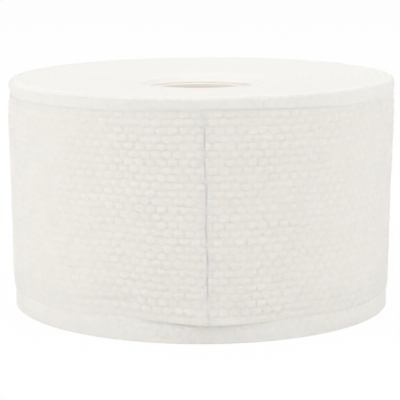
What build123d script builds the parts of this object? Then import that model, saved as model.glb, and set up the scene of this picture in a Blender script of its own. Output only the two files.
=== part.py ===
from build123d import *
from math import cos, radians, sin
import os

# A disposable face towel roll: one long web of embossed non-woven towel, wound on a
# paperboard tube and standing on its slit end.
# +Z is up and -Y is the front. The origin is on the tube's axis, where the foot rests.
# All sizes are in millimetres and all angles in degrees.

# Paperboard tube
tube_bore = 45.0
tube_wall = 1.5
tube_recess = 6.0
winding_clearance = 0.0

# Wound web: its wide inner turns
web_width = 100.0
roll_radius = 83.1
rim_swell = 0.9
rim_round = 2.4
rim_facets = 4
rim_band = 5.5
neck_in = 0.4
shoulder_drop = 23.0
foot_taper = 1.1
foot_chamfer = 0.8

# Laps of the web that show on both slit ends. One lap stands for about fourteen real turns.
lap_pitch = 7.2
face_margin = 2.0
dish_depth = 3.0
crevice_width = 0.5
crevice_depth = 0.5

# Outermost turn: narrower than the rest, because it was pulled tight
turn_thickness = 0.5
foot_band = 8.4

# Front of its hem, which stands off the foot
hem_stand_off = 2.4
hem_bend_radius = 60.0
hem_lift_height = 15.0

# Perforated tear line down the front of the outermost turn
cut_length = 9.5
tie_length = 2.0
cut_width = 0.6
tear_start = 6.5
tear_azimuth = 1.2
tear_lean = 1.0

# Sizes that follow from those above
tube_radius = tube_bore / 2 + tube_wall
tube_length = web_width - tube_recess
web_bore_radius = tube_radius + winding_clearance
rim_radius = roll_radius + rim_swell
neck_radius = roll_radius - neck_in
foot_radius = roll_radius - foot_taper
neck_height = web_width - rim_band
shoulder_height = web_width - shoulder_drop
face_radius = rim_radius - rim_round
first_lap_radius = web_bore_radius + lap_pitch / 2
lap_count = int((face_radius - face_margin - first_lap_radius) / lap_pitch)
lap_drop = dish_depth / lap_count


def rim_point(index):
    """Point on the rounded rim, from the foot of the rounding to the flat top end."""
    angle = radians(90 * index / rim_facets)
    return (face_radius + rim_round * cos(angle), web_width - rim_round * (1 - sin(angle)))


def spiral(start_radius, pitch, half_turns):
    """Draw a spiral of semicircles about two centres, clockwise from the back.

    Each half turn is struck from the other centre, with its radius half a pitch larger,
    so the arcs join smoothly and the turns lie one pitch apart.
    """
    for half in range(half_turns):
        side = 1 if half % 2 else -1
        radius = start_radius + pitch / 4 + half * pitch / 2
        CenterArc((0, side * pitch / 4), radius, -90 * side, -180)


def lap_outline(start_radius, pitch):
    """Outline of one lap of the web, closed by the step from its end back to its start."""
    spiral(start_radius, pitch, 2)
    Line((0, start_radius), (0, start_radius + pitch))


# Spiral-wound paperboard tube, cut shorter than the web so that the web stands past it
with BuildPart() as core_tube:
    with BuildSketch():
        Circle(tube_radius)
        Circle(tube_bore / 2, mode=Mode.SUBTRACT)
    extrude(amount=tube_length)
core_tube.part.label = "core_tube"

# Outermost turn, as a drum whose side is one lap of a spiral: the step is the web's cut tail
with BuildPart() as outer_turn:
    for height, radius in (
        (foot_band, foot_radius),
        (shoulder_height, roll_radius),
        (neck_height, neck_radius),
    ):
        with BuildSketch(Plane.XY.offset(height)):
            with BuildLine():
                lap_outline(radius + turn_thickness, turn_thickness)
            make_face()
    loft(ruled=True)

    # The hem bends out at the front: a tighter bend set forward, with the same sheet under it
    hem_surface = foot_radius + 1.5 * turn_thickness
    hem_axis = Location((0, hem_bend_radius - hem_surface - hem_stand_off, foot_band))
    with Locations(hem_axis):
        Cone(
            hem_bend_radius,
            hem_bend_radius - hem_stand_off,
            hem_lift_height,
            align=(Align.CENTER, Align.CENTER, Align.MIN),
        )
        Cone(
            hem_bend_radius - turn_thickness,
            hem_bend_radius - turn_thickness - hem_stand_off,
            hem_lift_height,
            align=(Align.CENTER, Align.CENTER, Align.MIN),
            mode=Mode.SUBTRACT,
        )

    # Perforated tear line: short cuts down the front, with a tie left between each two
    tear_top = neck_height - tear_start
    cut_pitch = cut_length + tie_length
    cut_count = int((tear_top - foot_band - tie_length) / cut_pitch)
    for index in range(cut_count):
        drop = cut_length / 2 + index * cut_pitch
        lean = tear_azimuth + tear_lean * drop / (tear_top - foot_band) - 90
        cut_plane = Plane.XY.offset(tear_top - drop).rotated((0, 0, lean))
        with Locations(cut_plane):
            with Locations((foot_radius + turn_thickness, 0, 0)):
                Box(4 * turn_thickness + 2 * foot_taper, cut_width, cut_length, mode=Mode.SUBTRACT)

# The whole wound web
with BuildPart() as towel_web:
    # Its wide turns as one turned form, with a loose rim that swells over the outermost turn
    with BuildSketch(Plane.XZ):
        with BuildLine():
            Polyline(
                (0, web_width),
                (0, 0),
                (foot_radius - foot_chamfer, 0),
                (foot_radius, foot_chamfer),
                (foot_radius, foot_band),
                (roll_radius, shoulder_height),
                (neck_radius, neck_height),
                *(rim_point(index) for index in range(rim_facets + 1)),
                close=True,
            )
        make_face()
    revolve()

    # Top end: each lap sits a little lower than the one outside it
    for lap in range(lap_count):
        with BuildSketch(Plane.XY.offset(web_width - (lap_count - lap) * lap_drop)):
            with BuildLine():
                lap_outline(first_lap_radius + lap * lap_pitch, lap_pitch)
            make_face()
        extrude(amount=dish_depth, mode=Mode.SUBTRACT)

    # Foot end: it stands flat, so the laps show only as one spiral crevice
    with BuildSketch():
        with BuildLine():
            inner_radius = first_lap_radius - crevice_width / 2
            outer_radius = first_lap_radius + crevice_width / 2
            last_step = lap_count * lap_pitch
            spiral(inner_radius, lap_pitch, 2 * lap_count)
            spiral(outer_radius, lap_pitch, 2 * lap_count)
            Line((0, inner_radius), (0, outer_radius))
            Line((0, inner_radius + last_step), (0, outer_radius + last_step))
        make_face()
    extrude(amount=crevice_depth, mode=Mode.SUBTRACT)

    add(outer_turn.part)
    Hole(web_bore_radius)
towel_web.part.label = "towel_web"

os.makedirs("parts", exist_ok=True)
export_step(core_tube.part, "parts/core_tube.step")
export_step(towel_web.part, "parts/towel_web.step")
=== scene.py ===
"""Visual model of a disposable face towel roll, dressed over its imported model.

The roll is one long web of pearl-embossed non-woven towel on a kraft paperboard tube.
Its outermost turn is narrower than the rest: it was pulled tight, so the turns inside
swell past its two edges, and its hem stands off at the front, beside the perforated
tear line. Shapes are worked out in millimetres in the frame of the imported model, as
azimuth about the roll's axis (0 at the front, positive to the right) and height.
"""
import logging
import math
from dataclasses import dataclass
from enum import Enum

import bpy
import numpy as np
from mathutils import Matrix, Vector


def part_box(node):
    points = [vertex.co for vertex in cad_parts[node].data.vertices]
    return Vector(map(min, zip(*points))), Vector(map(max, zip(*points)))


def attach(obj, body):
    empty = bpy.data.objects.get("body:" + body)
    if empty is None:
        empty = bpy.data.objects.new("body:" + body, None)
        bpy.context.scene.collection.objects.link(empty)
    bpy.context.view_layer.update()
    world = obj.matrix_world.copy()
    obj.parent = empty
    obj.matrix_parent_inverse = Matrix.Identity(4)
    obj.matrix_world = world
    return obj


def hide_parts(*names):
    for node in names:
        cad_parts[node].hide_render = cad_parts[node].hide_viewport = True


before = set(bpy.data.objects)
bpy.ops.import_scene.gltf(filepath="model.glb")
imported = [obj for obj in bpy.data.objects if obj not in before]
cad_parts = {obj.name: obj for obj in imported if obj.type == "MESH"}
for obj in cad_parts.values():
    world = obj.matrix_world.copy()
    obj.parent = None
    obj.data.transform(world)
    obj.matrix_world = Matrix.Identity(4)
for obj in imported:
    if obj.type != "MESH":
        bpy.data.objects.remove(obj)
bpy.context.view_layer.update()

log = logging.getLogger("towel_roll")

MM = 0.001


class Side(Enum):
    """Which way a half of the outermost turn runs from the tear line."""

    LEFT = -1
    RIGHT = 1


class End(Enum):
    """Which slit end of the roll a face belongs to."""

    TOP = "top"
    FOOT = "foot"


class Slot(Enum):
    """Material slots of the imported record."""

    TOWEL = "nonwoven_towel"
    BOARD = "kraft_board"


def linear(colour: str) -> tuple[float, float, float, float]:
    """Turn an sRGB hex colour into linear RGBA.

    Args:
        colour: six hex digits, with or without a leading hash.

    Returns:
        Linear red, green and blue, and an alpha of 1.
    """
    parts = [int(colour.lstrip("#")[i : i + 2], 16) / 255 for i in (0, 2, 4)]
    values = [p / 12.92 if p <= 0.04045 else ((p + 0.055) / 1.055) ** 2.4 for p in parts]
    return (values[0], values[1], values[2], 1.0)


def add_node(
    tree: bpy.types.NodeTree,
    kind: str,
    inputs: dict | None = None,
    **settings: object,
) -> bpy.types.Node:
    """Add one node with its settings, and fill or link its inputs.

    Args:
        tree: the node tree to add to.
        kind: the node's type name.
        inputs: input name or index, to a plain value or to an output socket to link.
        **settings: attributes of the node itself.

    Returns:
        The new node.
    """
    node = tree.nodes.new(kind)
    for name, value in settings.items():
        setattr(node, name, value)
    for key, value in (inputs or {}).items():
        if isinstance(value, bpy.types.NodeSocket):
            tree.links.new(value, node.inputs[key])
        else:
            node.inputs[key].default_value = value
    return node


def new_material(name: str) -> tuple[bpy.types.Material, bpy.types.NodeTree]:
    """Make an empty node material.

    Args:
        name: the material's name.

    Returns:
        The material and its node tree, with no nodes in it.
    """
    material = bpy.data.materials.new(name)
    material.use_nodes = True
    material.node_tree.nodes.clear()
    return material, material.node_tree


def add_direct_view(tree: bpy.types.NodeTree) -> bpy.types.NodeSocket:
    """Tell the rays that show a surface from those that light the roll.

    Args:
        tree: the node tree to add to.

    Returns:
        A socket that is 1 for camera, glossy and transmission rays, and 0 for all others.
    """
    path = add_node(tree, "ShaderNodeLightPath")
    shown = add_node(
        tree,
        "ShaderNodeMath",
        {0: path.outputs["Is Camera Ray"], 1: path.outputs["Is Glossy Ray"]},
        operation="MAXIMUM",
    )
    direct = add_node(
        tree,
        "ShaderNodeMath",
        {0: shown.outputs["Value"], 1: path.outputs["Is Transmission Ray"]},
        operation="MAXIMUM",
    )
    return direct.outputs["Value"]


def smooth_step(value: np.ndarray) -> np.ndarray:
    """Ease a value from 0 to 1, flat at both ends."""
    clipped = np.clip(value, 0.0, 1.0)
    return clipped * clipped * (3.0 - 2.0 * clipped)


def hump(value: np.ndarray, middle: float, half_width: float) -> np.ndarray:
    """Smooth hump of height 1 at the middle, and 0 past half_width on either side."""
    return smooth_step(1.0 - np.abs(value - middle) / half_width)


def fair_curve(stations: tuple[tuple[float, float], ...], where: np.ndarray) -> np.ndarray:
    """Read a fair curve through a few stations.

    Args:
        stations: pairs of place and value, with the places rising.
        where: the places to read it at.

    Returns:
        The curve's values, level past its two ends.
    """
    at, value = (np.array(column, float) for column in zip(*stations))
    slope = np.gradient(value, at)
    where = np.clip(where, at[0], at[-1])
    index = np.clip(np.searchsorted(at, where, side="right") - 1, 0, len(at) - 2)
    width = at[index + 1] - at[index]
    t = (where - at[index]) / width
    return (
        value[index] * (2 * t**3 - 3 * t**2 + 1)
        + value[index + 1] * (3 * t**2 - 2 * t**3)
        + slope[index] * width * (t**3 - 2 * t**2 + t)
        + slope[index + 1] * width * (t**3 - t**2)
    )


def soft_noise(seed: int, around: np.ndarray, along: np.ndarray, cells: int) -> np.ndarray:
    """Smooth random waves between -1 and 1 that close up around the roll.

    Args:
        seed: which waves to draw.
        around: place around the roll, in turns.
        along: place along the other direction, in waves.
        cells: how many waves there are in one turn.

    Returns:
        The height of the waves.
    """
    rows = 64  # waves along, before they repeat
    lattice = np.random.default_rng(seed).uniform(-1.0, 1.0, (cells, rows))
    around, along = np.broadcast_arrays(around * cells, along)
    left, low = np.floor(around).astype(int), np.floor(along).astype(int)
    s, t = smooth_step(around - left), smooth_step(along - low)
    near = lattice[left % cells, low % rows] * (1 - s) + lattice[(left + 1) % cells, low % rows] * s
    far = (
        lattice[left % cells, (low + 1) % rows] * (1 - s)
        + lattice[(left + 1) % cells, (low + 1) % rows] * s
    )
    return near * (1 - t) + far * t


def on_roll(radius: np.ndarray, azimuth: np.ndarray, height: np.ndarray) -> np.ndarray:
    """Turn radius, azimuth and height into points.

    Args:
        radius: distance from the roll's axis, in millimetres.
        azimuth: degrees from the front, positive to the right.
        height: millimetres above the foot.

    Returns:
        Points in millimetres, with x, y and z along the last axis.
    """
    radius, turn, height = np.broadcast_arrays(radius, np.radians(azimuth), height)
    return np.stack((radius * np.sin(turn), -radius * np.cos(turn), height), axis=-1)


def make_surface(
    name: str,
    points: np.ndarray,
    closed: bool = False,
    sharp_rows: tuple[int, ...] = (),
    sharp_columns: tuple[int, ...] = (),
) -> bpy.types.Object:
    """Make a smooth piece from a grid of points.

    Args:
        name: the piece's name.
        points: millimetres, in rows and columns. Its outside faces where rows cross columns.
        closed: whether the last column joins the first.
        sharp_rows: rows along which the piece turns over a cut edge.
        sharp_columns: columns along which the piece turns over a cut edge.

    Returns:
        The new object.
    """
    rows, columns = points.shape[:2]
    row = np.arange(rows - 1)[:, None] * columns
    column = np.arange(columns if closed else columns - 1)[None, :]
    after = (column + 1) % columns
    corners = (row + column, row + after, row + columns + after, row + columns + column)
    quads = np.stack(np.broadcast_arrays(*corners), axis=-1).reshape(-1, 4)
    mesh = bpy.data.meshes.new(name)
    mesh.from_pydata((points.reshape(-1, 3) * MM).tolist(), [], quads.tolist())
    mesh.shade_smooth()
    ends = np.empty(2 * len(mesh.edges), np.int32)
    mesh.edges.foreach_get("vertices", ends)
    end_row, end_column = np.divmod(ends.reshape(-1, 2), columns)
    sharp = np.isin(end_row, sharp_rows).all(axis=1) & (end_row[:, 0] == end_row[:, 1])
    sharp |= np.isin(end_column, sharp_columns).all(axis=1) & (end_column[:, 0] == end_column[:, 1])
    mesh.attributes.new("sharp_edge", "BOOLEAN", "EDGE").data.foreach_set("value", sharp)
    piece = bpy.data.objects.new(name, mesh)
    bpy.context.scene.collection.objects.link(piece)
    return piece


def finish_piece(piece: bpy.types.Object, node: str, material: bpy.types.Material) -> None:
    """Dress a piece, and tie it to the frame.

    Args:
        piece: the piece.
        node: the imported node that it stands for.
        material: its finish.
    """
    piece.data.materials.append(material)
    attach(piece, "root")
    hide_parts(node)
    log.info("%s: %d faces", piece.name, len(piece.data.polygons))


@dataclass(frozen=True)
class PearlSpunlace:
    """Pearl-embossed spunlace: viscose and polyester fibres tangled by water jets.

    Water jets leave no glue and no gloss, so it is a soft matt white with a faint warm
    cast, a little fuzz along its outline and a cloudy make-up where fibres lie thick or thin.
    """

    name: str = "Pearl-embossed spunlace"
    thick: str = "#F9F6F1"  # where the fibres lie thick
    thin: str = "#F2EEE7"  # where they lie thin
    roughness: float = 0.95
    fuzz: float = 0.12
    glow: float = 0.5  # light that spreads through the loose fibres, which softens every crevice
    glow_mm: float = 0.8
    fibre_mm: float = 0.35  # real fibres are 0.015 mm: drawn as bundles that can show
    fibre_run: float = 5.0  # how much longer the bundles are along the web than across it
    cloud_mm: float = 6.0  # size of the patches where the fibres lie thick or thin
    fibre_relief_mm: float = 0.05

    def material(self) -> bpy.types.Material:
        """Make the node material, with its fibres lying along the web.

        Returns:
            The material.
        """
        made, tree = new_material(self.name)
        place = add_node(tree, "ShaderNodeTexCoord").outputs["Object"]
        cloud = add_node(
            tree,
            "ShaderNodeTexNoise",
            {"Vector": place, "Scale": 1 / (self.cloud_mm * MM), "Detail": 3.0, "Roughness": 0.6},
        )
        tint = add_node(
            tree,
            "ShaderNodeMix",
            {"Factor": cloud.outputs["Fac"], "A": linear(self.thin), "B": linear(self.thick)},
            data_type="RGBA",
        )
        across = 1 / (self.fibre_mm * MM)
        run = add_node(
            tree,
            "ShaderNodeMapping",
            {"Vector": place, "Scale": (across / self.fibre_run, across / self.fibre_run, across)},
        )
        fibres = add_node(
            tree,
            "ShaderNodeTexNoise",
            {"Vector": run.outputs["Vector"], "Scale": 1.0, "Detail": 4.0, "Roughness": 0.7},
        )
        relief = add_node(
            tree,
            "ShaderNodeBump",
            {"Height": fibres.outputs["Fac"], "Strength": 0.5, "Distance": self.fibre_relief_mm * MM},
        )
        shader = add_node(
            tree,
            "ShaderNodeBsdfPrincipled",
            {
                "Base Color": tint.outputs["Result"],
                "Roughness": self.roughness,
                "Sheen Weight": self.fuzz,
                "Sheen Roughness": 0.6,
                "Subsurface Weight": self.glow,
                "Subsurface Radius": (1.0, 0.93, 0.78),
                "Subsurface Scale": self.glow_mm * MM,
                "Specular IOR Level": 0.2,
                "Normal": relief.outputs["Normal"],
            },
        )
        add_node(tree, "ShaderNodeOutputMaterial", {"Surface": shader.outputs["BSDF"]})
        return made


@dataclass(frozen=True)
class SlitSpunlace:
    """The same web where a slitting knife cut it: the edges of about 120 packed turns.

    Cut fibre ends scatter more light than the flat web, so an end is a shade whiter, with
    fine rings where one turn stands a little past the next, and painted shade in the seams between turns.
    """

    land: str = "#F8F7F3"
    # painted shade: the seams between turns are painted a shade darker
    seam: str = "#F5F3EE"
    roughness: float = 0.97
    turn_mm: float = 1.5  # real turns are 0.5 mm: three are drawn as one ring, so that they show
    ring_relief_mm: float = 0.06
    fibre_mm: float = 0.25  # real fibres are 0.015 mm: drawn as tufts that can show

    def material(self) -> bpy.types.Material:
        """Make the node material, with its rings wound as the turns are.

        Returns:
            The material.
        """
        made, tree = new_material("Slit spunlace edge")
        place = add_node(tree, "ShaderNodeTexCoord").outputs["Object"]
        axes = add_node(tree, "ShaderNodeSeparateXYZ", {"Vector": place})
        flat = add_node(tree, "ShaderNodeCombineXYZ", {"X": axes.outputs["X"], "Y": axes.outputs["Y"]})
        radius = add_node(
            tree, "ShaderNodeVectorMath", {0: flat.outputs["Vector"]}, operation="LENGTH"
        )
        turn = add_node(
            tree,
            "ShaderNodeMath",
            {0: axes.outputs["Y"], 1: axes.outputs["X"]},
            operation="ARCTAN2",
        )
        laps = add_node(
            tree,
            "ShaderNodeMath",
            {0: radius.outputs["Value"], 1: 1 / (self.turn_mm * MM)},
            operation="MULTIPLY",
        )
        wound = add_node(
            tree,
            "ShaderNodeMath",
            {0: turn.outputs["Value"], 1: 1 / math.tau, 2: laps.outputs["Value"]},
            operation="MULTIPLY_ADD",
        )
        ring = add_node(tree, "ShaderNodeMath", {0: wound.outputs["Value"], 1: 1.0}, operation="PINGPONG")
        # the seam where one turn steps past the next: low in the relief, and painted shade in the colour
        seam = add_node(
            tree,
            "ShaderNodeMapRange",
            {"Value": ring.outputs["Value"], "From Min": 0.0, "From Max": 0.35},
            interpolation_type="SMOOTHSTEP",
        )
        # painted shade: the darker seam colour in the grooves between turns
        tint = add_node(
            tree,
            "ShaderNodeMix",
            {"Factor": seam.outputs["Result"], "A": linear(self.seam), "B": linear(self.land)},
            data_type="RGBA",
        )
        fibres = add_node(
            tree,
            "ShaderNodeTexNoise",
            {"Vector": place, "Scale": 1 / (self.fibre_mm * MM), "Detail": 3.0, "Roughness": 0.7},
        )
        height = add_node(
            tree,
            "ShaderNodeMath",
            {0: fibres.outputs["Fac"], 1: 0.5, 2: seam.outputs["Result"]},
            operation="MULTIPLY_ADD",
        )
        relief = add_node(
            tree,
            "ShaderNodeBump",
            {"Height": height.outputs["Value"], "Strength": 0.6, "Distance": self.ring_relief_mm * MM},
        )
        shader = add_node(
            tree,
            "ShaderNodeBsdfPrincipled",
            {
                "Base Color": tint.outputs["Result"],
                "Roughness": self.roughness,
                "Sheen Weight": 0.1,
                "Specular IOR Level": 0.15,
                "Normal": relief.outputs["Normal"],
            },
        )
        add_node(tree, "ShaderNodeOutputMaterial", {"Surface": shader.outputs["BSDF"]})
        return made


@dataclass(frozen=True)
class KraftBoard:
    """Spiral-wound kraft paperboard: recycled fibre, calendered and glued in plies.

    It is matt and warmer than the towel, with fine darker flecks and a faint paper grain.
    """

    # painted light: the board's colours are painted far paler than plain kraft, standing in for the
    # strong light that falls into the tube
    sheet: str = "#FFF8F0"  # much paler than plain kraft, as the photograph shows it
    fleck: str = "#FAEEE1"
    roughness: float = 0.8
    fleck_mm: float = 0.9
    grain_mm: float = 0.3
    grain_relief_mm: float = 0.03

    def material(self) -> bpy.types.Material:
        """Make the node material.

        Returns:
            The material.
        """
        made, tree = new_material("Spiral-wound kraft paperboard")
        place = add_node(tree, "ShaderNodeTexCoord").outputs["Object"]
        flecks = add_node(
            tree,
            "ShaderNodeTexNoise",
            {"Vector": place, "Scale": 1 / (self.fleck_mm * MM), "Detail": 6.0, "Roughness": 0.75},
        )
        amount = add_node(
            tree,
            "ShaderNodeMapRange",
            {"Value": flecks.outputs["Fac"], "From Min": 0.52, "From Max": 0.72},
        )
        tint = add_node(
            tree,
            "ShaderNodeMix",
            {"Factor": amount.outputs["Result"], "A": linear(self.sheet), "B": linear(self.fleck)},
            data_type="RGBA",
        )
        grain = add_node(
            tree,
            "ShaderNodeTexNoise",
            {"Vector": place, "Scale": 1 / (self.grain_mm * MM), "Detail": 2.0},
        )
        relief = add_node(
            tree,
            "ShaderNodeBump",
            {"Height": grain.outputs["Fac"], "Strength": 0.3, "Distance": self.grain_relief_mm * MM},
        )
        shader = add_node(
            tree,
            "ShaderNodeBsdfPrincipled",
            {
                "Base Color": tint.outputs["Result"],
                "Roughness": self.roughness,
                "Specular IOR Level": 0.3,
                "Normal": relief.outputs["Normal"],
            },
        )
        add_node(tree, "ShaderNodeOutputMaterial", {"Surface": shader.outputs["BSDF"]})
        return made


@dataclass(frozen=True)
class StudioPaper:
    """Matt white background paper under and behind the roll, which shows as plain white."""

    colour: str = "#FAFAFA"
    own_white: float = 0.955  # share of its look that is plain white; the rest keeps the shadow

    def material(self) -> bpy.types.Material:
        """Make the node material.

        Returns:
            The material.
        """
        made, tree = new_material("Matt background paper")
        share = add_node(
            tree,
            "ShaderNodeMath",
            {0: add_direct_view(tree), 1: self.own_white},
            operation="MULTIPLY",
        )
        paper = add_node(
            tree, "ShaderNodeBsdfDiffuse", {"Color": linear(self.colour), "Roughness": 1.0}
        )
        white = add_node(tree, "ShaderNodeEmission", {"Color": linear("#FFFFFF"), "Strength": 1.0})
        mixed = add_node(
            tree,
            "ShaderNodeMixShader",
            {"Fac": share.outputs["Value"], 1: paper.outputs["BSDF"], 2: white.outputs["Emission"]},
        )
        add_node(tree, "ShaderNodeOutputMaterial", {"Surface": mixed.outputs["Shader"]})
        return made


@dataclass(frozen=True)
class PearlEmboss:
    """Pearls that the embossing drum pressed into the web, in staggered rows."""

    pearls_around: int = 117
    row_mm: float = 3.2
    relief_mm: float = 0.56
    uneven: float = 0.35
    rows_drawn: int = 41  # rows of pearls, before their unevenness repeats
    side_press: float = 0.56  # how much flatter winding tension leaves the pearls round the sides
    seed: int = 7

    def relief(self, turns: np.ndarray, across: np.ndarray) -> np.ndarray:
        """Height of the pearls above the grooves between them.

        Args:
            turns: place along the web, in turns of the roll.
            across: place across the web, in millimetres from its hem.

        Returns:
            Height in millimetres.
        """
        turns, across = np.broadcast_arrays(turns, across)
        row = np.floor(across / self.row_mm).astype(int)
        along = turns * self.pearls_around + 0.5 * (row % 2)
        pearl = np.floor(along).astype(int)
        x = 2.0 * (along - pearl) - 1.0
        y = 2.0 * (across / self.row_mm - row) - 1.0
        size = (3, self.rows_drawn, self.pearls_around)
        dice = np.random.default_rng(self.seed).uniform(-1.0, 1.0, size)
        full, lean_x, lean_y = (
            d[row % self.rows_drawn, pearl % self.pearls_around] for d in dice
        )
        # round domes with a narrow groove round each
        dome = np.sqrt(np.clip(1.0 - np.abs(x / 1.01) ** 2.5 - np.abs(y / 0.95) ** 2.3, 0.0, 1.0))
        lean = 1.0 + 0.3 * (lean_x * x + lean_y * y)
        # full in front, pressed flatter round the sides, and nearly full again at the back
        from_front = np.abs((turns + 0.5) % 1.0 - 0.5) * 360.0
        towards_back = smooth_step((from_front - 110.0) / 50.0)
        sides = smooth_step((from_front - 12.0) / 40.0) * (1.0 - 0.7 * towards_back)
        pressed = 1.0 - self.side_press * sides
        return self.relief_mm * dome * lean * pressed * (1.0 + self.uneven * full)


@dataclass(frozen=True)
class TearLine:
    """Perforated line down the front, where cuts have opened and ties still hold."""

    top_azimuth: float = 0.75
    hem_azimuth: float = 2.15
    top_height: float = 88.0
    wave_mm: float = 0.2
    gap_mm: float = 0.34  # width of a cut that is fully open
    lip_mm: float = 0.32
    curl_mm: float = 0.16
    # top and bottom height of each cut, and how far it has opened
    cuts: tuple[tuple[float, float, float], ...] = (
        (88.0, 78.6, 0.55),
        (75.4, 67.6, 0.8),
        (64.3, 56.1, 0.9),
        (53.4, 43.0, 0.8),
        (39.9, 32.8, 0.9),
        (29.1, 19.5, 0.5),
        (14.6, 7.2, 0.25),
    )

    def azimuth(self, height: np.ndarray, radius: float) -> np.ndarray:
        """Place of the line, which leans and wanders a little.

        Args:
            height: millimetres above the foot.
            radius: distance from the roll's axis, in millimetres.

        Returns:
            Azimuth in degrees.
        """
        share = (self.top_height - height) / self.top_height
        lean = self.top_azimuth + (self.hem_azimuth - self.top_azimuth) * share
        wave = np.sin(height * 0.23) + 0.3 * np.sin(height * 0.61 + 1.0)
        return lean + np.degrees(self.wave_mm * wave / radius)

    def open(self, height: np.ndarray) -> np.ndarray:
        """How far open the line is.

        Args:
            height: millimetres above the foot.

        Returns:
            From 0 at a tie to 1 where a cut is fully open.
        """
        width = np.zeros_like(height)
        for high, low, fullness in self.cuts:
            share = np.clip((height - low) / (high - low), 0.0, 1.0)
            ends = np.clip(1.7 * np.sin(math.pi * share), 0.0, 1.0)
            width = np.maximum(width, fullness * ends)
        return width

    def lip(self, distance: np.ndarray) -> np.ndarray:
        """Rise of the web beside an open cut: a soft welt, curled in at its edge."""
        welt = self.lip_mm * np.exp(-(((distance - 0.9) / 0.6) ** 2))
        return welt - self.curl_mm * np.exp(-((distance / 0.35) ** 2))


@dataclass
class RollForm:
    """Outer form of the roll that all layers of the web share, in millimetres."""

    top: float
    rim_radius: float
    tube_radius: float
    turn_mm: float = 0.5
    sag_left_mm: float = 0.9
    # inset of the outermost turn from the rim's radius, by height
    taper: tuple[tuple[float, float], ...] = (
        (0.0, 1.75),
        (10.0, 1.6),
        (24.0, 1.2),
        (36.0, 1.1),
        (52.0, 0.8),
        (66.0, 0.45),
        (78.0, 0.15),
        (88.0, 0.2),
        (96.0, 0.5),
    )

    def wound(self, azimuth: np.ndarray) -> np.ndarray:
        """How far the outermost turn has gone round from its start at the back, in turns."""
        return (180.0 - azimuth) / 360.0

    def side_radius(self, azimuth: np.ndarray, height: np.ndarray) -> np.ndarray:
        """Face of the outermost turn, before its emboss, its hem and its tear line.

        Args:
            azimuth: degrees from the front, positive to the right.
            height: millimetres above the foot.

        Returns:
            Radius in millimetres.
        """
        turns = azimuth / 360.0
        radius = self.rim_radius - fair_curve(self.taper, height)
        radius = radius + self.turn_mm * (self.wound(azimuth) - 0.5)
        # slow waves all round, and rolls and ripples where the left front hangs loose
        left_front = hump(azimuth, -32.0, 42.0)
        radius = radius + 0.22 * soft_noise(3, turns, height / 24.0, 14)
        radius = radius + 0.3 * left_front * np.sin(height * math.tau / 27.0 + 0.4)
        return radius + 0.25 * left_front * soft_noise(5, turns, height / 13.0, 30)

    def place(self, radius: np.ndarray, azimuth: np.ndarray, height: np.ndarray) -> np.ndarray:
        """Set points on the roll, after its top has sunk a little on the left.

        Args:
            radius: distance from the roll's axis, in millimetres.
            azimuth: degrees from the front, positive to the right.
            height: millimetres above the foot, before the top has sunk.

        Returns:
            Points in millimetres.
        """
        share = np.clip(radius / self.rim_radius, 0.0, 1.0)
        side = 0.5 * (1.0 - share * np.sin(np.radians(azimuth)))
        sunk = self.sag_left_mm * side**2 * smooth_step((height - 55.0) / 45.0)
        return on_roll(radius, azimuth, height - sunk)


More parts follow.
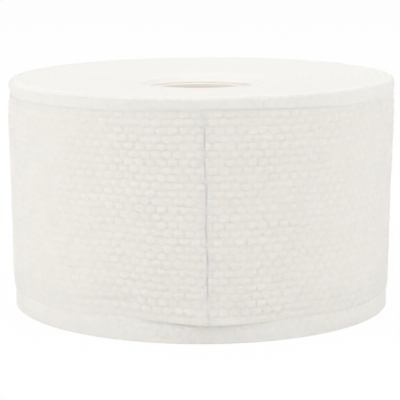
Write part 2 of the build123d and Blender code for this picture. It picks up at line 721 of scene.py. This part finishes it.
@dataclass
class OutermostTurn:
    """The web's last turn, from its start under the tail round to the tail at the back."""

    form: RollForm
    emboss: PearlEmboss
    tear: TearLine
    thickness: float = 0.55
    rows_of_pearls: int = 27
    hem_height: float = 8.6  # on average, to set the heights of the tear line's cuts
    neck_height: float = 94.6
    tuck_under: float = 3.0  # degrees that the web runs on under its own tail
    tail_lift: float = 0.8
    stand_off: float = 2.4  # of the hem, at the front
    columns: int = 520
    # where the mesh has its rows across one row of pearls: closer at the grooves
    row_steps: tuple[float, ...] = (0.0, 0.1, 0.26, 0.5, 0.74, 0.9)
    # how far the web is folded in, in millimetres at hem and neck and in shares of its length
    hem_fold: tuple[float, ...] = (9.0, 6.0, 3.0, 1.0, 0.0)
    neck_fold: tuple[float, ...] = (0.0, 1.5)
    line_fold: tuple[float, ...] = (0.008, 0.003, 0.0)
    tail_fold: tuple[float, ...] = (0.0, 0.008)
    # height of the hem above the foot, by azimuth
    hem: tuple[tuple[float, float], ...] = (
        (-180.0, 8.4),
        (-90.0, 8.5),
        (-60.0, 8.7),
        (-44.0, 8.8),
        (-36.0, 9.3),
        (-27.0, 10.3),
        (-21.0, 10.3),
        (-14.0, 9.1),
        (-5.0, 8.4),
        (2.0, 7.8),
        (8.0, 7.9),
        (17.0, 8.2),
        (26.0, 8.8),
        (36.0, 8.4),
        (46.0, 7.9),
        (90.0, 8.3),
        (180.0, 8.4),
    )
    # height of the crease that the hem bends out from, by azimuth
    crease: tuple[tuple[float, float], ...] = (
        (-60.0, 13.0),
        (-36.0, 14.9),
        (-22.0, 17.9),
        (-10.0, 16.6),
        (0.0, 15.5),
        (5.0, 13.4),
        (20.0, 12.6),
        (40.0, 12.0),
    )

    @property
    def width(self) -> float:
        """Width of the web, from its hem to its neck."""
        return self.rows_of_pearls * self.emboss.row_mm

    def hem_lift(self, azimuth: np.ndarray, height: np.ndarray, hem: np.ndarray) -> np.ndarray:
        """How far the hem stands off the foot: nothing at the crease, and most at its edge.

        Args:
            azimuth: degrees from the front, positive to the right.
            height: millimetres above the foot.
            hem: height of the hem there.

        Returns:
            Millimetres outwards, and below nothing in the valley of the crease.
        """
        crease = fair_curve(self.crease, azimuth)
        share = np.clip((crease - height) / (crease - hem), 0.0, 1.3)
        # it stands off most in front, and a little more where it turns to each side
        reach = self.stand_off * (0.65 * hump(azimuth, 0.0, 32.0) + 0.35 * hump(azimuth, 4.0, 15.0))
        reach = reach + 0.35 * hump(azimuth, -38.0, 32.0)
        reach = reach + 0.35 * hump(azimuth, 44.0, 20.0)
        valley = 0.6 * hump(azimuth, -24.0, 24.0) * np.exp(-(((height - crease) / 0.9) ** 2))
        curl = (0.3 + 0.3 * hump(azimuth, 0.0, 38.0)) * np.exp(-((height - hem) / 0.7))
        return reach * share - valley - curl

    def grid(self, side: Side) -> np.ndarray:
        """Work out the points of one half of the turn.

        Args:
            side: which way the half runs from the tear line.

        Returns:
            Points in millimetres, with the folded-in edges of the web round them.
        """
        steps = np.array(self.row_steps)
        rows = (np.arange(self.rows_of_pearls)[:, None] + steps[None, :]).ravel()
        across = np.append(rows, self.rows_of_pearls) * self.emboss.row_mm
        across = np.concatenate((self.hem_fold, across, self.width - np.array(self.neck_fold)))
        row_under = np.zeros(len(across), bool)
        row_under[: len(self.hem_fold)] = True
        row_under[-len(self.neck_fold) :] = True

        share = np.linspace(0.0, 1.0, self.columns)
        share = np.sort(np.append(share, (0.0006, 0.0012, 0.003)))  # finer beside the tear line
        share = np.concatenate((self.line_fold, share))
        column_under = np.zeros(len(share), bool)
        column_under[: len(self.line_fold)] = True
        if side is Side.LEFT:
            share = np.append(share, 1.0 - np.array(self.tail_fold))
            column_under = np.append(column_under, (True, True))

        across, share = across[:, None], share[None, :]
        under = row_under[:, None] | column_under[None, :]
        nominal = self.form.rim_radius
        rough_height = self.hem_height + across * (self.neck_height - self.hem_height) / self.width
        opened = self.tear.open(rough_height)
        line = self.tear.azimuth(rough_height, nominal)
        gap = np.degrees(0.5 * self.tear.gap_mm * opened / nominal)
        start = line + side.value * gap
        if side is Side.LEFT:
            end = -180.0 + 0.12 * soft_noise(11, np.zeros_like(across), across / 2.2, 4)
        else:
            end = np.full_like(across, 180.0 + self.tuck_under)
        azimuth = start + (end - start) * share
        hem = fair_curve(self.hem, azimuth)
        neck = self.neck_height + 0.25 * soft_noise(13, azimuth / 360.0, np.zeros_like(azimuth), 24)
        height = hem + (neck - hem) * across / self.width

        from_line = np.radians(np.abs(azimuth - start)) * nominal
        from_tail = np.radians(np.abs(azimuth - end)) * nominal
        # beside an open cut the web rises in a lip, and its pearls are pulled flat
        lip = opened * self.tear.lip(from_line)
        pressed = 1.0 - (0.15 + 0.6 * opened) * np.exp(-((from_line / 0.9) ** 2))
        # a little past each groove, so that rounding leaves it in the row above
        pearls = self.emboss.relief(azimuth / 360.0, across + 0.02) * ~row_under[:, None]
        # the pearls are ironed flat along the hem, most at the front and in the left fold
        flat_hem = 1.2 + 3.6 * hump(azimuth, 2.0, 36.0) + 4.5 * hump(azimuth, -24.0, 22.0)
        edge = smooth_step(across / flat_hem) * smooth_step((self.width - across) / 1.2)
        radius = self.form.side_radius(azimuth, height)
        radius = radius + pearls * pressed * (0.25 + 0.75 * edge)
        radius = radius + self.hem_lift(azimuth, height, hem)
        radius = radius + lip
        radius = radius - self.neck_in(azimuth) * smooth_step((height - neck + 5.0) / 5.0)
        if side is Side.LEFT:
            radius = radius + self.tail_lift * np.exp(-from_tail / 3.0)
        radius = radius - np.where(under, self.thickness, 0.0)
        points = self.form.place(radius, azimuth, height)
        return points if side is Side.RIGHT else points[:, ::-1]

    def neck_in(self, azimuth: np.ndarray) -> np.ndarray:
        """How far the tight top edge of the turn bites into the roll."""
        return 0.45 - 0.35 * np.sin(np.radians(azimuth)) + 0.25 * hump(azimuth, 0.0, 34.0)

    def build(self, material: bpy.types.Material) -> None:
        """Make and dress the left and right halves of the turn.

        Args:
            material: the towel's finish.
        """
        for side in Side:
            points = self.grid(side)
            rows, columns = points.shape[:2]
            # columns at the tear line, and at the tail too on the left, whose columns run back
            folds = (2, 3) if side is Side.RIGHT else (1, 2, columns - 4, columns - 3)
            piece = make_surface(
                f"outermost_turn_{side.name.lower()}",
                points,
                sharp_rows=(4, 5, rows - 3, rows - 2),
                sharp_columns=folds,
            )
            finish_piece(piece, "towel_web", material)


@dataclass
class WideTurns:
    """All turns under the last one, which swell past both of its edges."""

    form: RollForm
    emboss: PearlEmboss
    neck_height: float = 94.6
    under_mm: float = 0.62  # how far they lie under the face of the outermost turn
    slot_rise: float = 0.42  # how much less that is behind the opened cuts
    foot_splay: float = 0.5
    splay_height: float = 4.5
    columns_per_pearl: int = 8
    pearl_shift: float = 42.7  # sets which rows of pearls show past the outermost turn
    # heights of the rows that the outermost turn covers
    covered: tuple[float, ...] = (14.0, 17.0, 21.0, 28.0, 36.0, 44.0, 52.0, 60.0, 68.0, 76.0, 84.0, 92.0)
    # profile of the rim's cut edges: inset, drop below the top, weight of the emboss
    rim_profile: tuple[tuple[float, float, float], ...] = (
        (0.0, 2.3, 0.8),
        (0.03, 1.9, 0.5),
        (0.08, 1.55, 0.2),
        (0.15, 1.4, 0.0),
        (0.27, 1.52, 0.0),
        (0.33, 1.25, 0.0),
        (0.42, 0.92, 0.0),
        (0.56, 0.72, 0.0),
        (0.68, 0.86, 0.0),
        (0.74, 0.58, 0.0),
        (0.92, 0.34, 0.0),
        (1.2, 0.2, 0.0),
        (1.32, 0.34, 0.0),
        (1.4, 0.13, 0.0),
        (1.8, 0.04, 0.0),
        (2.4, 0.0, 0.0),
        (3.1, 0.0, 0.0),
        (3.3, 0.06, 0.0),
        (3.4, 0.5, 0.0),
    )

    def outline(self, azimuth: np.ndarray) -> tuple[np.ndarray, np.ndarray, np.ndarray]:
        """Work out the roll's outline from its foot, up its side and over its rim.

        Args:
            azimuth: degrees, as one row of columns.

        Returns:
            Radius, height and the weight of the emboss, each in rows and columns.
        """
        rim = self.form.rim_radius
        foot = rim - fair_curve(self.form.taper, np.zeros_like(azimuth)) - 0.15
        front = hump(azimuth, 0.0, 34.0)
        side = np.sin(np.radians(azimuth))
        bulge = rim - 0.05 + 0.1 * side + 0.15 * front
        bite = 0.5 + 0.95 * front - 0.15 * side
        neck = self.neck_height - 0.1
        splayed = foot + self.foot_splay * hump(azimuth, 3.0, 60.0)
        profile: list[tuple[np.ndarray, float | np.ndarray, float]] = [
            (foot - 2.4, 0.05, 0.0),
            (splayed - 0.2, 0.03, 0.0),
            (splayed - 0.07, 0.04, 0.0),
            (splayed - 0.01, 0.1, 0.0),
            (splayed - 0.02, 0.22, 0.0),
        ]
        # the foot splays at the front, then stands back under the hem
        for height in (0.7, *np.arange(1.3, 12.0, 0.53)):
            upright = 1.5 * (1.0 - max(0.0, 1.0 - height / self.splay_height) ** 2)
            weight = 0.4 if height < 1.0 else 0.6
            profile.append((splayed - upright * (splayed - foot), height, weight))
        slot = self.slot_rise * hump(azimuth, 1.5, 4.0)
        for height in self.covered:
            level = np.full_like(azimuth, height)
            inset = self.under_mm + 0.6 * hump(level, 16.5, 6.0) - slot
            profile.append((self.form.side_radius(azimuth, level) - inset, level, 0.0))
        profile.append((bulge - bite - 0.1, neck - 1.2, 0.0))
        profile += self.rim(azimuth, bulge, bite, neck)
        radius, height, weight = (
            np.stack([np.broadcast_to(value, azimuth.shape) for value in column])
            for column in zip(*profile)
        )
        return radius, height, weight

    def rim(
        self,
        azimuth: np.ndarray,
        bulge: np.ndarray,
        bite: np.ndarray,
        neck: float,
    ) -> list[tuple[np.ndarray, np.ndarray, float]]:
        """Work out the loose rim: its rounded lip, then the cut edges of its turns, in steps.

        Args:
            azimuth: degrees, as one row of columns.
            bulge: radius of the rim at its fullest.
            bite: depth of the crevice under it.
            neck: height of that crevice.

        Returns:
            Radius, height and the weight of the emboss, row by row.
        """
        gape = 0.15 + 0.9 * hump(azimuth, 0.0, 34.0)
        lip = [
            (bulge - bite, neck + 0.5 * gape, 0.0),
            (bulge - 0.85 * bite, neck + gape + 0.1, 0.1),
            (bulge - 0.58 * bite, neck + gape + 0.6, 0.3),
            (bulge - 0.33 * bite, neck + gape + 1.2, 0.6),
            (bulge - 0.14 * bite, neck + gape + 1.9, 0.9),
        ]
        # the rim's edge is sharper at the front, where the turn under it pulls it taut
        taut = hump(azimuth, 0.0, 75.0)
        round_off = (1.0 - 0.25 * np.sin(np.radians(azimuth))) * (1.0 - 0.45 * taut)
        sharp = 1.0 - 0.5 * taut
        return lip + [
            (bulge - inset * (1.0 if inset > 3.0 else round_off), self.form.top - drop * sharp, weight)
            for inset, drop, weight in self.rim_profile
        ]

    def build(self, material: bpy.types.Material) -> None:
        """Make and dress the side, foot and rim of the wide turns.

        Args:
            material: the towel's finish.
        """
        columns = self.emboss.pearls_around * self.columns_per_pearl
        azimuth = np.linspace(-180.0, 180.0, columns, endpoint=False)
        radius, height, weight = self.outline(azimuth)
        azimuth = azimuth[None, :]
        pearls = self.emboss.relief(azimuth / 360.0, height + self.pearl_shift)
        waves = 0.12 * soft_noise(17, azimuth / 360.0, height / 9.0, 40)
        radius = radius + weight * (pearls - 0.2 + waves)
        piece = make_surface("wide_turns", self.form.place(radius, azimuth, height), closed=True)
        finish_piece(piece, "towel_web", material)


@dataclass
class SlitEnd:
    """One slit end of the roll: the edges of all its turns, from the rim to the tube."""

    form: RollForm
    end: End
    ring_mm: float = 1.5
    samples_per_ring: int = 4
    columns: int = 480
    ring_relief: float = 0.03
    uneven_mm: float = 0.09
    outer_radius: float = 80.75
    edge_tuck: float = 0.35  # how far the top end's outer edge dips under the rim
    top_sink: float = 0.06
    foot_lift: float = 0.3  # the roll stands on its outer edge, and the turns inside lie just clear
    tube_gap: float = 0.08
    mouth_round: float = 0.5
    mouth_depth: float = 3.0
    # how far the top end has sunk, by radius: a shallow dish, then a funnel down to the tube,
    # which is steeper at the front
    dish_front: tuple[tuple[float, float], ...] = (
        (24.0, 5.9),
        (25.0, 4.4),
        (26.2, 3.2),
        (28.0, 2.5),
        (31.0, 2.15),
        (40.0, 1.7),
        (60.0, 0.85),
        (81.0, 0.0),
    )
    dish_back: tuple[tuple[float, float], ...] = (
        (24.0, 5.9),
        (26.0, 4.3),
        (28.5, 3.0),
        (32.0, 2.1),
        (40.0, 1.6),
        (60.0, 0.85),
        (81.0, 0.0),
    )

    def face_height(self, radius: np.ndarray, azimuth: np.ndarray) -> np.ndarray:
        """Work out how high the edges of the turns stand.

        Args:
            radius: distance from the roll's axis, in millimetres.
            azimuth: degrees from the front, positive to the right.

        Returns:
            Millimetres above the foot, before the top has settled.
        """
        laps = radius / self.ring_mm + azimuth / 360.0
        ring = np.cos(math.tau * laps)
        proud = soft_noise(23, azimuth / 360.0, laps / 2.5, 7)
        band = soft_noise(29, azimuth / 360.0, laps / 9.0, 5)
        fade = smooth_step((self.outer_radius - radius) / 2.0)
        uneven = fade * (self.ring_relief * ring + self.uneven_mm * (0.5 * proud + 0.5 * band))
        if self.end is End.FOOT:
            return self.foot_lift + uneven
        front = 0.5 * (1.0 + np.cos(np.radians(azimuth)))
        at_front = fair_curve(self.dish_front, radius)
        at_back = fair_curve(self.dish_back, radius)
        dish = front * at_front + (1.0 - front) * at_back
        return self.form.top - self.top_sink - dish + uneven

    def build(self, material: bpy.types.Material) -> None:
        """Make and dress the end and the short mouth that its inner turns leave above the tube.

        Args:
            material: the slit web's finish.
        """
        azimuth = np.linspace(-180.0, 180.0, self.columns, endpoint=False)[None, :]
        inner = self.form.tube_radius + self.tube_gap
        step = self.ring_mm / self.samples_per_ring
        rings = np.arange(self.outer_radius, inner + self.mouth_round, -step)[:, None]
        radius = np.repeat(rings, self.columns, axis=1)
        height = self.face_height(radius, azimuth)
        height[0] -= self.edge_tuck if self.end is End.TOP else 0.0
        lip = height[-1:]
        up = 1.0 if self.end is End.TOP else -1.0
        bends = np.radians(np.arange(15.0, 91.0, 15.0))[:, None]
        bend_radius = inner + self.mouth_round * (1.0 - np.sin(bends))
        bend_radius = np.repeat(bend_radius, self.columns, axis=1)
        bend_height = lip - up * self.mouth_round * (1.0 - np.cos(bends))
        drops = np.array([0.8, 1.4, self.mouth_depth])[:, None]
        wall_height = bend_height[-1:] - up * (drops - self.mouth_round)
        wall_radius = np.full_like(wall_height, inner)
        radius = np.concatenate((radius, bend_radius, wall_radius))
        height = np.concatenate((height, bend_height, wall_height))
        if self.end is End.TOP:
            points = self.form.place(radius, azimuth, height)
        else:
            points = on_roll(radius, azimuth, height)[:, ::-1]
        piece = make_surface(f"slit_end_{self.end.value}", points, closed=True)
        finish_piece(piece, "towel_web", material)


@dataclass
class PaperTube:
    """Spiral-wound paperboard tube inside the roll."""

    radius: float
    bottom: float
    solid_top: float
    wall: float = 1.5
    mouth_drop: float = 0.4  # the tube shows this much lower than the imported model's
    seam_lead: float = 66.0
    seam_width: float = 0.5
    seam_depth: float = 0.16
    edge_round: float = 0.25
    columns: int = 144
    rows: int = 64

    @property
    def bore(self) -> float:
        """Radius of the tube's bore."""
        return self.radius - self.wall

    @property
    def top(self) -> float:
        """Height of the tube's mouth."""
        return self.solid_top - self.mouth_drop

    def build(self, material: bpy.types.Material) -> None:
        """Make and dress the tube, with the butt seam of its inner ply as a helix.

        Args:
            material: the paperboard's finish.
        """
        seam = np.degrees(self.seam_width / self.bore)
        near = np.array([-2.0, -1.0, -0.55, 0.0, 0.55, 1.0, 2.0]) * seam
        rest = np.linspace(near[-1], 360.0 + near[0], self.columns + 2)[1:-1]
        across = np.concatenate((near, rest))
        depth = self.seam_depth * np.exp(-((across / (0.5 * seam)) ** 2))
        worn = 0.08 * soft_noise(31, across / 360.0, np.zeros_like(across), 36)
        turn = self.edge_round
        inner = np.linspace(self.top - turn, self.bottom + turn, self.rows)
        profile: list[tuple[float | np.ndarray, float | np.ndarray]] = [
            (self.radius, self.bottom + turn),
            (self.radius, self.top - turn + worn),
            (self.radius - turn, self.top + worn),
            (0.5 * (self.radius + self.bore), self.top - 0.05 + worn),
            (self.bore + turn, self.top + worn),
        ]
        profile += [(self.bore + depth, height) for height in inner]
        profile += [
            (self.bore + turn, self.bottom),
            (self.radius - turn, self.bottom),
            (self.radius, self.bottom + turn),
        ]
        radius, height = (
            np.stack([np.broadcast_to(value, across.shape) for value in column])
            for column in zip(*profile)
        )
        wound = np.clip(height, self.bottom, self.top)
        wound[0] = self.top
        azimuth = across[None, :] + 360.0 * wound / self.seam_lead
        piece = make_surface("paper_tube", on_roll(radius, azimuth, height), closed=True)
        finish_piece(piece, "core_tube", material)


@dataclass(frozen=True)
class SoftBox:
    """One square soft box that faces the roll, in metres and watts."""

    name: str
    place: tuple[float, float, float]
    size: float
    power: float

    def build(self, aim: Vector) -> None:
        """Add the lamp.

        Args:
            aim: the point that it faces.
        """
        data = bpy.data.lights.new(self.name, "AREA")
        data.size = self.size
        data.energy = self.power
        lamp = bpy.data.objects.new(self.name, data)
        lamp.location = self.place
        lamp.rotation_euler = (aim - lamp.location).to_track_quat("-Z", "Y").to_euler()
        bpy.context.scene.collection.objects.link(lamp)


@dataclass
class Studio:
    """Pale floor, soft lamps and the camera at the photograph's angle."""

    camera_mm: tuple[float, float, float] = (-0.54, -775.6, 181.0)
    camera_pitch: float = 10.0
    lens_mm: float = 160.07
    sensor_mm: float = 36.0
    floor_size: float = 12.0
    floor_gap: float = 0.0002  # keeps the floor from touching the foot's faces
    room_light: float = 0.45
    aim: tuple[float, float, float] = (0.0, 0.0, 0.05)
    # strong from both sides and weak from the front, so that the pearls show but stay soft
    lamps: tuple[SoftBox, ...] = (
        SoftBox("soft_box_left", (-1.4, -0.6, 0.65), 1.4, 7.7),
        SoftBox("soft_box_right", (1.4, -0.6, 0.6), 1.4, 6.4),
        SoftBox("soft_box_front", (0.0, -1.1, 1.3), 1.3, 2.8),
        SoftBox("soft_box_top", (0.0, 0.2, 1.6), 1.2, 8.6),
    )

    def build_floor(self, material: bpy.types.Material) -> None:
        """Lay the floor just under the roll.

        Args:
            material: the background paper's finish.
        """
        mesh = bpy.data.meshes.new("floor")
        half = 0.5 * self.floor_size
        square = ((-1, -1), (1, -1), (1, 1), (-1, 1))
        corners = [(x * half, y * half, -self.floor_gap) for x, y in square]
        mesh.from_pydata(corners, [], [(0, 1, 2, 3)])
        floor = bpy.data.objects.new("floor", mesh)
        floor.data.materials.append(material)
        bpy.context.scene.collection.objects.link(floor)

    def build_camera(self) -> None:
        """Set the camera where the photograph was taken from."""
        data = bpy.data.cameras.new("camera")
        data.sensor_width = self.sensor_mm
        data.lens = self.lens_mm
        data.clip_end = 100.0
        camera = bpy.data.objects.new("camera", data)
        camera.location = Vector(self.camera_mm) * MM
        camera.rotation_euler = (math.radians(90.0 - self.camera_pitch), 0.0, 0.0)
        bpy.context.scene.collection.objects.link(camera)
        bpy.context.scene.camera = camera

    def build_room(self) -> None:
        """Light the room evenly, and show it as plain white."""
        world = bpy.data.worlds.new("white room")
        bpy.context.scene.world = world
        world.use_nodes = True
        tree = world.node_tree
        tree.nodes.clear()
        white = linear("#FFFFFF")
        light = add_node(tree, "ShaderNodeBackground", {"Color": white, "Strength": self.room_light})
        plain = add_node(tree, "ShaderNodeBackground", {"Color": white, "Strength": 1.0})
        mixed = add_node(
            tree,
            "ShaderNodeMixShader",
            {
                "Fac": add_direct_view(tree),
                1: light.outputs["Background"],
                2: plain.outputs["Background"],
            },
        )
        add_node(tree, "ShaderNodeOutputWorld", {"Surface": mixed.outputs["Shader"]})

    def build(self) -> None:
        """Build the whole studio."""
        self.build_room()
        self.build_floor(StudioPaper().material())
        for lamp in self.lamps:
            lamp.build(Vector(self.aim))
        self.build_camera()
        bpy.context.scene.view_settings.view_transform = "Standard"


def main() -> None:
    """Build the roll from its frame, then the studio round it."""
    logging.basicConfig(level=logging.INFO, format="%(name)s: %(message)s")
    web_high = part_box("towel_web")[1] / MM
    tube_low, tube_high = (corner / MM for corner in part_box("core_tube"))
    form = RollForm(top=web_high.z, rim_radius=web_high.x, tube_radius=tube_high.x)
    emboss = PearlEmboss()
    towel = PearlSpunlace().material()
    # painted light: the inner turns get a copy of the towel a shade whiter, standing in for more light on
    # the foot band and rim
    painted_light_towel = PearlSpunlace(
        name="Pearl-embossed spunlace of the inner turns",
        # painted light: both tones a shade whiter than the outer towel's
        thick="#FDFAF5",
        thin="#F8F4ED",
    ).material()
    slit = SlitSpunlace().material()
    OutermostTurn(form, emboss, TearLine()).build(towel)
    WideTurns(form, emboss).build(painted_light_towel)
    for end in End:
        SlitEnd(form, end).build(slit)
    tube = PaperTube(radius=tube_high.x, bottom=tube_low.z, solid_top=tube_high.z)
    tube.build(KraftBoard().material())
    Studio().build()


if __name__ == "__main__":
    main()
